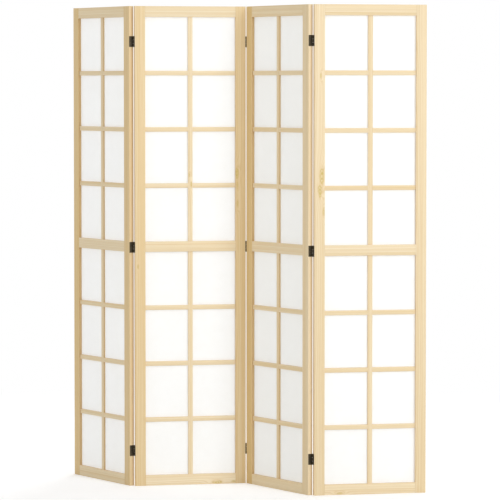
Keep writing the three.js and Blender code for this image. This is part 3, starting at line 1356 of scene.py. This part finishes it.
    def _turned(self, level: float, profile: Sequence[Span]) -> Piece:
        """Draws a round piece out of a disc, from the leaf's open face into the stile.

        Args:
            level: the height of its axis.
            profile: the radius and the depth of each ring, from the outside in.

        Returns:
            The closed piece.
        """
        (radius, depth), *rest = profile
        piece = Bench.added(
            "turned",
            bpy.ops.mesh.primitive_circle_add,
            vertices=self.screw_sides,
            radius=radius,
            fill_type="NGON",
            location=(self.inner + depth, self.screw_y, level),
            rotation=(0, math.radians(90), 0),
        )
        with Bench.editing(piece, Kind.FACE):
            for next_radius, next_depth in rest:
                out = {"value": (next_depth - depth, 0, 0)}
                bpy.ops.mesh.extrude_region_move(TRANSFORM_OT_translate=out)
                size = next_radius / radius
                centre = (self.inner + next_depth, self.screw_y, level)
                bpy.ops.transform.resize(value=(1, size, size), center_override=centre)
                radius, depth = next_radius, next_depth
        with Bench.editing(piece, Kind.FACE):
            bpy.ops.mesh.normals_make_consistent(inside=False)
        return piece

    def _sink(self, level: float) -> Piece:
        """Makes the cutter for a screw's hole, wider than the screw by a gap.

        Args:
            level: the height of the hole.

        Returns:
            The cutter.
        """
        gap = self.fit
        profile = [
            (self.screw_head + gap, -gap),
            (self.screw_head + gap, 0.0),
            (self.screw_shank + gap, self.screw_sink),
            (self.screw_shank + gap, self.screw_length - self.screw_point),
            (0.2 * MM, self.screw_length + gap),
        ]
        return self._turned(level, profile)

    def screw_piece(self) -> Piece:
        """Models a countersunk screw with a crosshead recess, at the lower hole.

        Returns:
            The screw about the hinge's pin.
        """
        level = self.screw_levels[0]
        profile = [
            (self.screw_head - self.screw_arris, 0.0),
            (self.screw_head, self.screw_arris),
            (self.screw_shank, self.screw_sink),
            (self.screw_shank * 0.96, self.screw_length - self.screw_point),
            (self.screw_shank * 0.5, self.screw_length - self.screw_point / 3),
            (self.screw_tip, self.screw_length),
        ]
        piece = self._turned(level, profile)
        floor = self.inner + self.cross_depth
        taper = (1, self.cross_taper, self.cross_taper)
        for wide, tall in (self.cross, self.cross[::-1]):
            spans = (about(self.screw_y, wide), about(level, tall))
            arm = Bench.block("recess", (self.inner - self.cross_past, floor), *spans)
            with Bench.editing(arm, Kind.FACE, at(0, floor)):
                centre = (floor, self.screw_y, level)
                bpy.ops.transform.resize(value=taper, center_override=centre)
            Bench.cut(piece, [arm])
        return self._finished(piece)

    def pin_piece(self) -> Piece:
        """Models the pin with its eased ends.

        Returns:
            The pin about its axis.
        """
        length = self.height + 2 * self.pin_past
        sizes = {"vertices": self.pin_sides, "radius": self.pin_radius, "depth": length}
        piece = Bench.added("pin", bpy.ops.mesh.primitive_cylinder_add, **sizes)
        Bench.ease(piece, self.pin_arris, 3, at(2, *about(0, length)))
        return self._finished(piece)

    def gain(self, place: Matrix) -> Piece:
        """Makes the cutter that lets a leaf into a stile's edge.

        Args:
            place: where the hinge's own frame lies in the panel's frame.

        Returns:
            The cutter.
        """
        past = self.sizes.past
        sunk = (self.inner - past, self.inner + self.leaf + self.fit)
        tall = wider(about(0, self.height), self.fit)
        cutter = Bench.block("gain", sunk, (-past, self.reach + self.fit), tall)
        cutter.data.transform(place)
        return cutter


# ---------------- the screen


class Finishes:
    """All materials of the screen."""

    knotty_wander = 16 * MM

    def __init__(self) -> None:
        """Makes the shared effects, and the materials that many pieces share."""
        wear = ArrisWear()
        self.effects = (PineFigure(), PineKnot(), wear)
        self.shared = {
            Slot.PINE: PineFinish().made("pine", *self.effects),
            Slot.PAPER: PaperFinish().made("rice_paper"),
            Slot.BRONZE: BronzeFinish().made("dark_bronze", wear),
        }

    def knotty(self, name: str, start: Vector, knots: Sequence[Knot]) -> bpy.types.Material:
        """Makes pine with knots for one board, whose corner has this vector."""
        centres = [(start + Vector((one.along, one.across, 0)), one) for one in knots]
        return PineFinish().made(name, *self.effects, centres, self.knotty_wander)


PANEL_TINTS = {1: 0.2, 2: 0.04, 3: 0.2, 4: 0.15}

# painted shade on the paper of panel 3, which stands in less light
PAPER_SHADES = {1: 0.0, 2: 0.0, 3: 0.38, 4: 0.0}

TINTS = {
    "panel_1_stile_left": 0.85,
    "panel_1_stile_right": 0.78,
    "panel_2_stile_left": 0.62,
    "panel_2_stile_right": 0.65,
    "panel_3_stile_left": 1.0,
    "panel_3_stile_right": 0.35,
    "panel_4_stile_left": 0.34,
    "panel_4_stile_right": 0.36,
}

KNOTS: dict[str, tuple[Knot, ...]] = {
    "panel_4_stile_right": (),
    "panel_4_stile_left": (
        Knot(1.4535, 0.0225, 3.0 * MM, 9 * MM),
        Knot(1.1085, 0.0265, 9.0 * MM, 12 * MM),
        Knot(1.0543, 0.0200, 7.5 * MM, 11 * MM, 20.0),
        Knot(0.9850, 0.0330, 4.5 * MM, 14 * MM, -14.0, 0.7),
    ),
    "panel_2_stile_left": (Knot(0.780, 0.010, 2.4 * MM, 5 * MM),),
    "panel_2_stile_right": (
        Knot(1.1080, 0.0050, 6.5 * MM, 9 * MM),
        Knot(1.0650, 0.0060, 4.0 * MM, 9 * MM, 14.0, 0.6),
        Knot(1.0000, 0.0070, 3.5 * MM, 9 * MM, 14.0, 0.7),
    ),
    "panel_2_rail_bottom": (
        Knot(0.2780, 0.0060, 5.5 * MM, 8 * MM, 14.0),
        Knot(0.3400, 0.0080, 3.0 * MM, 6 * MM),
    ),
    "panel_2_upper_upright": (
        Knot(0.2406, 0.0040, 2.6 * MM, 5 * MM),
        Knot(0.2066, 0.0110, 3.2 * MM, 5 * MM),
    ),
    "panel_4_rail_bottom": (Knot(0.075, 0.006, 3.6 * MM, 7 * MM),),
}


@dataclass
class Screen:
    """The whole screen: four panels on their hinges.

    The heart of the tree is as far behind a board, and as far round from square to its face,
    as is drawn by lot. A board in KNOTS has its heart at knotty_heart.
    """

    frame: dict
    sizes: PanelSizes = field(default_factory=PanelSizes)
    panels: int = 4
    bar_tint: float = 0.07
    tints: Span = (0.0, 0.14)
    heart_turns: Span = (15.0, 55.0)
    heart_distances: Span = (45.0, 110.0)
    starts: Span = (0.0, 40.0)
    knotty_heart: Span = (82.0, 42.0)
    paper_shifts: Span = (0.0, 9.0)
    seed: int = 23

    def __post_init__(self) -> None:
        """Prepares the finishes and finds where the panels stand."""
        self.finishes = Finishes()
        self.hinge = Hinge(self.sizes)
        self.dice = random.Random(self.seed)
        self.places = self._panel_places()

    def _panel_places(self) -> dict[int, Matrix]:
        """Finds each panel's place from the pins and the folds of the joints.

        Returns:
            For each panel's number, the place of its own frame in the row's frame.
        """
        joints = {joint["name"]: joint for joint in self.frame["joints"]}
        pins, folds, local = {}, {}, {}
        for n in range(1, self.panels):
            joint = joints[f"fold_{n}{n + 1}"]
            pins[n] = Vector(joint["pos_m"][:2])
            folds[n] = -math.radians(joint["range_deg"][0])
            for side in Side:
                local[n, side] = self.hinge.place(side, self.face(n), 0).translation.xy
        real = pins[2] - pins[1]
        drawn = local[2, Side.RIGHT] - local[1, Side.LEFT]
        turns = {2: math.atan2(real.y, real.x) - math.atan2(drawn.y, drawn.x)}
        turns[1] = turns[2] - folds[1]
        turns[3] = turns[2] - folds[2]
        turns[4] = turns[3] + folds[3]
        places = {}
        for number in range(1, self.panels + 1):
            joint, side = (number - 1, Side.LEFT) if number > 1 else (1, Side.RIGHT)
            start = Matrix.Translation((-local[joint, side]).to_3d())
            turn = Matrix.Rotation(turns[number], 4, "Z")
            places[number] = Matrix.Translation(pins[joint].to_3d()) @ turn @ start
        return places

    @staticmethod
    def face(joint: int) -> Face:
        """Returns the face that a joint's knuckles stand on."""
        return Face.BACK if joint % 2 else Face.FRONT

    def put(
        self,
        master: Piece,
        name: str,
        number: int,
        node: str,
        slot: Slot,
        place: Matrix | None = None,
    ) -> Piece:
        """Copies a piece into a panel, with its material, body, slot and CAD node.

        Args:
            master: the piece.
            name: the copy's name.
            number: the number of the panel that it rides on.
            node: the CAD node that it stands for.
            slot: its material slot.
            place: where its mesh goes, or None for the panel's own place.

        Returns:
            The copy.
        """
        piece = Bench.copied(master, name, place or self.places[number])
        piece.data.materials.append(self.finishes.shared[slot])
        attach(piece, f"panel_{number}")
        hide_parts(node)
        log.info("%s: %d faces", piece.name, len(piece.data.polygons))
        return piece

    def fitted(self, master: Piece, part: str, number: int, run: Run, node: str) -> None:
        """Copies a board into its panel, with a tint and a grain drawn by lot.

        Args:
            master: the board in its panel's frame.
            part: the copy's name within its panel.
            number: the panel's number.
            run: the way its grain runs.
            node: the CAD node that it stands for.
        """
        name = f"panel_{number}_{part}"
        dice = self.dice
        drawn = dice.uniform(*self.tints) + PANEL_TINTS[number]
        tint = TINTS.get(name, drawn if "rail" in name else drawn + self.bar_tint)
        turn = dice.uniform(*self.heart_turns) * dice.choice((-1, 1))
        far = dice.uniform(*self.heart_distances)
        if name in KNOTS:
            turn, far = self.knotty_heart
        turn, far = math.radians(turn), far * MM
        along = dice.uniform(*self.starts)
        start = Vector((along, far * math.cos(turn), far * math.sin(turn)))
        points = Bench.read(master.data.vertices, "co")[:, run.value]
        piece = self.put(master, name, number, node, Slot.PINE)
        Bench.mark(piece, "board", points - points.min(axis=0) + np.array(start))
        Bench.mark(piece, "tint", np.full(len(points), tint))
        if name in KNOTS:
            knotty = self.finishes.knotty(f"pine_{name}", start, KNOTS[name])
            piece.data.materials[0] = knotty

    def spread(self, master: Piece, part: str, run: Run, node: str) -> None:
        """Copies a board into every panel, and throws the master away.

        Args:
            master: the board in its panel's frame.
            part: the copies' name within their panels.
            run: the way its grain runs.
            node: the name, within its panel, of the CAD node that a copy stands for.
        """
        for number in self.places:
            self.fitted(master, part, number, run, f"panel_{number}_{node}")
        bpy.data.objects.remove(master)

    def build_stiles(self) -> None:
        """Makes the eight stiles, each with the gains of its own edge."""
        hinge = self.hinge
        for number in self.places:
            for side in Side:
                joint = number - 1 if side is Side.LEFT else number
                gains = []
                if joint in range(1, self.panels):
                    face = self.face(joint)
                    for level in hinge.heights.values():
                        gains.append(partial(hinge.gain, hinge.place(side, face, level)))
                master = Stile(self.sizes, side, gains).build()
                node = f"panel_{number}_{side.value}_stile"
                self.fitted(master, f"stile_{side.value}", number, Run.UP, node)
                bpy.data.objects.remove(master)

    def build_rails(self) -> None:
        """Makes the three rails of each panel."""
        for place in self.sizes.rails:
            rail = Rail(self.sizes, place).build()
            self.spread(rail, f"rail_{place}", Run.ACROSS, f"{place}_rail")

    def build_lattices(self) -> None:
        """Makes the upright and the crossbars of both lattices of each panel."""
        s = self.sizes
        centre, ends = s.width / 2, wider(s.inside_x, -s.fit)
        for opening, span in s.openings.items():
            levels = s.levels(opening)
            bars = {"upright": LatticeBar(s, Run.UP, wider(span, -s.fit), centre, levels)}
            for index, level in enumerate(levels, 1):
                bar = LatticeBar(s, Run.ACROSS, ends, level, (centre,))
                bars[f"crossbar_{index}"] = bar
            for part, bar in bars.items():
                part = f"{opening}_{part}"
                self.spread(bar.build(), part, bar.run, f"{opening}_lattice")

    def build_papers(self) -> None:
        """Makes the sheet of paper of each panel."""
        sheet = PaperSheet(self.sizes)
        master = sheet.build()
        points = Bench.read(master.data.vertices, "co")[:, [0, 2, 1]]
        for number in self.places:
            stem = f"panel_{number}"
            node = f"{stem}_paper"
            piece = self.put(master, f"{stem}_paper_sheet", number, node, Slot.PAPER)
            shift = [*(self.dice.uniform(*self.paper_shifts) for _ in range(2)), 0]
            Bench.mark(piece, "sheet", points + np.array(shift))
            # painted shade on the paper, carried by its tint attribute
            Bench.mark(piece, "tint", np.full(len(points), PAPER_SHADES[number]))
            held = [f"{stem}_{opening}_upright" for opening in self.sizes.openings]
            held += [f"{stem}_stile_{side.value}" for side in Side]
            sheet.flat
        bpy.data.objects.remove(master)

    def build_hinges(self) -> None:
        """Makes the nine hinges: left leaf and pin on one panel, right leaf on the next."""
        hinge = self.hinge
        leaves = (hinge.leaf_piece((0, 2)), hinge.leaf_piece((1,)))
        screw, pin = hinge.screw_piece(), hinge.pin_piece()
        home = Matrix.Translation((0, -hinge.screw_y, -hinge.screw_levels[0]))
        for joint in range(1, self.panels):
            for place, level in hinge.heights.items():
                stem = f"hinge_{joint}{joint + 1}_{place}"
                hands = zip(Side, (Side.RIGHT, Side.LEFT), leaves, strict=True)
                for number, (hand, edge, leaf) in enumerate(hands, joint):
                    spot = self.places[number] @ hinge.place(edge, self.face(joint), level)
                    name = f"{stem}_{hand.value}"
                    ride = (number, f"{name}_leaf", Slot.BRONZE)
                    self.put(leaf, f"{name}_plate", *ride, spot)
                    for part, z in zip("ab", hinge.screw_levels, strict=True):
                        angle = self.dice.uniform(0, math.pi / 2)
                        hole = Matrix.Translation((0, hinge.screw_y, z))
                        turned = spot @ hole @ Matrix.Rotation(angle, 4, "X") @ home
                        self.put(screw, f"{name}_screw_{part}", *ride, turned)
                    if hand is Side.LEFT:
                        ride = (number, f"{stem}_pin", Slot.BRONZE)
                        self.put(pin, f"{stem}_rivet_pin", *ride, spot)
        for master in (*leaves, screw, pin):
            bpy.data.objects.remove(master)


# ---------------- the studio


@dataclass(frozen=True)
class Softbox:
    """A soft lamp on a circle round the screen, aimed at its middle.

    bearing is measured from straight in front of the screen towards its right end.
    """

    name: str
    bearing: float
    distance: float
    height: float
    size: float
    power: float
    aim: Colour = (0.0, 0.0, 0.9)

    def hang(self) -> None:
        """Hangs the lamp."""
        light = bpy.data.lights.new(self.name, "AREA")
        light.shape = "SQUARE"
        light.size = self.size
        light.energy = self.power
        lamp = bpy.data.objects.new(self.name, light)
        turn = math.radians(self.bearing)
        place = Vector((math.sin(turn), -math.cos(turn), 0)) * self.distance
        place.z = self.height
        lamp.location = place
        lamp.rotation_euler = (Vector(self.aim) - place).to_track_quat("-Z", "Y").to_euler()
        bpy.context.scene.collection.objects.link(lamp)


@dataclass
class Studio:
    """Pale floor, soft lamps, white surroundings and the camera."""

    ambient: float = 0.60
    lamps: tuple[Softbox, ...] = (
        Softbox("key", 60.0, 10.0, 4.0, 3.4, 385.0),
        Softbox("fill", -40.0, 8.0, 3.0, 3.5, 56.0),
        Softbox("back", 182.0, 14.0, 4.5, 8.0, 1250.0),
    )
    floor_size: float = 40.0
    floor_grey: float = 0.8
    floor_lift: float = 0.33
    floor_near: float = 1.6
    floor_far: float = 3.6
    lens: float = 227.45
    sensor: float = 36.0
    clip: Span = (0.1, 100.0)
    camera_place: Colour = (4.3514, -10.2556, 1.4267)
    camera_tilt: float = -3.0145
    camera_turn: float = 22.7065

    def build(self) -> None:
        """Sets the whole studio up."""
        self._floor()
        self._world()
        for lamp in self.lamps:
            lamp.hang()
        self._camera()
        bpy.context.scene.view_settings.view_transform = "Standard"

    def _floor(self) -> None:
        """Lays a pale floor that stays white to the camera and keeps soft shadows."""
        floor = Bench.added("floor", bpy.ops.mesh.primitive_plane_add, size=self.floor_size)
        base = Base("floor_white")
        grey = self.floor_grey
        base.set(Base_Color=(grey, grey, grey), Roughness=0.9, Specular_IOR_Level=0.1)
        wiring = base.wiring
        seen = wiring.node("ShaderNodeLightPath").outputs["Is Camera Ray"]
        values = {"Color": WHITE, "Strength": wiring.times(seen, self.floor_lift)}
        lift = wiring.node("ShaderNodeEmission", values).outputs[0]
        values = {0: base.surface.outputs[0], 1: lift}
        near = wiring.node("ShaderNodeAddShader", values).outputs[0]
        place = wiring.node("ShaderNodeTexCoord").outputs["Object"]
        away = wiring.length(place)
        fade = wiring.times(wiring.ramped(away, (self.floor_near, self.floor_far)), seen)
        white = wiring.node("ShaderNodeEmission", {"Color": WHITE, "Strength": 1.0})
        values = {0: fade, 1: near, 2: white.outputs[0]}
        base.show(wiring.node("ShaderNodeMixShader", values))
        floor.data.materials.append(base.material)

    def _world(self) -> None:
        """Lights the object evenly, and shows white to the camera, metal and paper."""
        world = bpy.data.worlds.new("studio")
        bpy.context.scene.world = world
        world.use_nodes = True
        world.node_tree.nodes.clear()
        wiring = Wiring(world.node_tree)
        path = wiring.node("ShaderNodeLightPath").outputs
        seen = wiring.math("MAXIMUM", path["Is Camera Ray"], path["Is Glossy Ray"])
        seen = wiring.math("MAXIMUM", seen, path["Is Transmission Ray"])
        strength = wiring.math("MULTIPLY_ADD", seen, 1 - self.ambient, self.ambient)
        sky = wiring.node("ShaderNodeBackground", {"Color": WHITE, "Strength": strength})
        wiring.node("ShaderNodeOutputWorld", {"Surface": sky.outputs[0]})

    def _camera(self) -> None:
        """Sets the camera at the photograph's viewing angle."""
        data = bpy.data.cameras.new("camera")
        data.lens = self.lens
        data.sensor_width = self.sensor
        data.clip_start, data.clip_end = self.clip
        camera = bpy.data.objects.new("camera", data)
        camera.location = self.camera_place
        turns = (90 + self.camera_tilt, 0, self.camera_turn)
        camera.rotation_euler = [math.radians(turn) for turn in turns]
        bpy.context.scene.collection.objects.link(camera)
        bpy.context.scene.camera = camera


def main() -> None:
    """Builds the dressed screen and its studio."""
    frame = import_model()
    screen = Screen(frame)
    screen.build_stiles()
    screen.build_rails()
    screen.build_lattices()
    screen.build_papers()
    screen.build_hinges()
    Studio().build()


if __name__ == "__main__":
    main()
